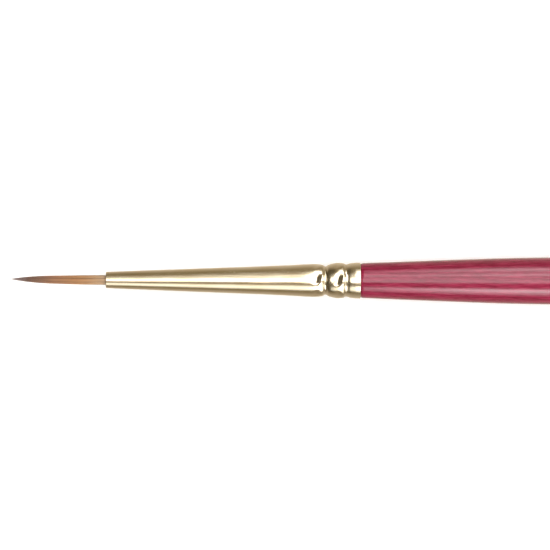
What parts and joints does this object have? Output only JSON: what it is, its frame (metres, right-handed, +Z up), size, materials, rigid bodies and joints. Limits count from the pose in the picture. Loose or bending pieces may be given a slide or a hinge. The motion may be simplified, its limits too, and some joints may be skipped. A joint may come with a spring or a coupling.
{
  "type": "fine detail brush",
  "caption": "Slender pointed round brush for fine detail work, with a springy hair tuft, a tapered crimped metal ferrule and a swelling lacquered wood handle.",
  "frame": {"origin": "on the brush's axis at the handle's widest place, where the fingers hold it", "axes": "+X along the brush from the point to the butt; +Z up as the brush lies, with every turned piece round about X"},
  "size_m": [0.1702, 0.0048, 0.0048],
  "materials": {
    "handle_wood": "bare turned hardwood",
    "crimson_lacquer": "glossy translucent crimson lacquer",
    "gilt_metal": "polished, gold coloured",
    "clear_glue": "set glue",
    "amber_resin": "set resin",
    "thread": "twisted linen",
    "sable_hair": "soft natural hair, dark at the point"
  },
  "bodies": {
    "brush": {"handle_core": "handle_wood", "lacquer_coat": "crimson_lacquer", "ferrule": "gilt_metal", "tenon_glue": "clear_glue", "setting_resin": "amber_resin", "binding_thread": "thread", "tuft_root": "sable_hair"},
    "tuft": {"point_hair": "sable_hair", "inner_hair_01": "sable_hair", "inner_hair_02": "sable_hair", "inner_hair_03": "sable_hair", "inner_hair_04": "sable_hair", "inner_hair_05": "sable_hair", "inner_hair_06": "sable_hair", "middle_hair_01": "sable_hair", "middle_hair_02": "sable_hair", "middle_hair_03": "sable_hair", "middle_hair_04": "sable_hair", "middle_hair_05": "sable_hair", "middle_hair_06": "sable_hair", "middle_hair_07": "sable_hair", "middle_hair_08": "sable_hair", "middle_hair_09": "sable_hair", "middle_hair_10": "sable_hair", "middle_hair_11": "sable_hair", "middle_hair_12": "sable_hair", "outer_hair_01": "sable_hair", "outer_hair_02": "sable_hair", "outer_hair_03": "sable_hair", "outer_hair_04": "sable_hair", "outer_hair_05": "sable_hair", "outer_hair_06": "sable_hair", "outer_hair_07": "sable_hair", "outer_hair_08": "sable_hair", "outer_hair_09": "sable_hair", "outer_hair_10": "sable_hair", "outer_hair_11": "sable_hair", "outer_hair_12": "sable_hair", "outer_hair_13": "sable_hair", "outer_hair_14": "sable_hair", "outer_hair_15": "sable_hair", "outer_hair_16": "sable_hair", "outer_hair_17": "sable_hair", "outer_hair_18": "sable_hair"}
  },
  "joints": [
    {"name": "tuft_flex", "type": "hinge", "parent": "brush", "child": "tuft", "pos_m": [-0.0468, 0, 0], "axis": [0, 0, 1], "range_deg": [-35, 35], "stiffness_Nm_per_rad": 0.0004}
  ]
}
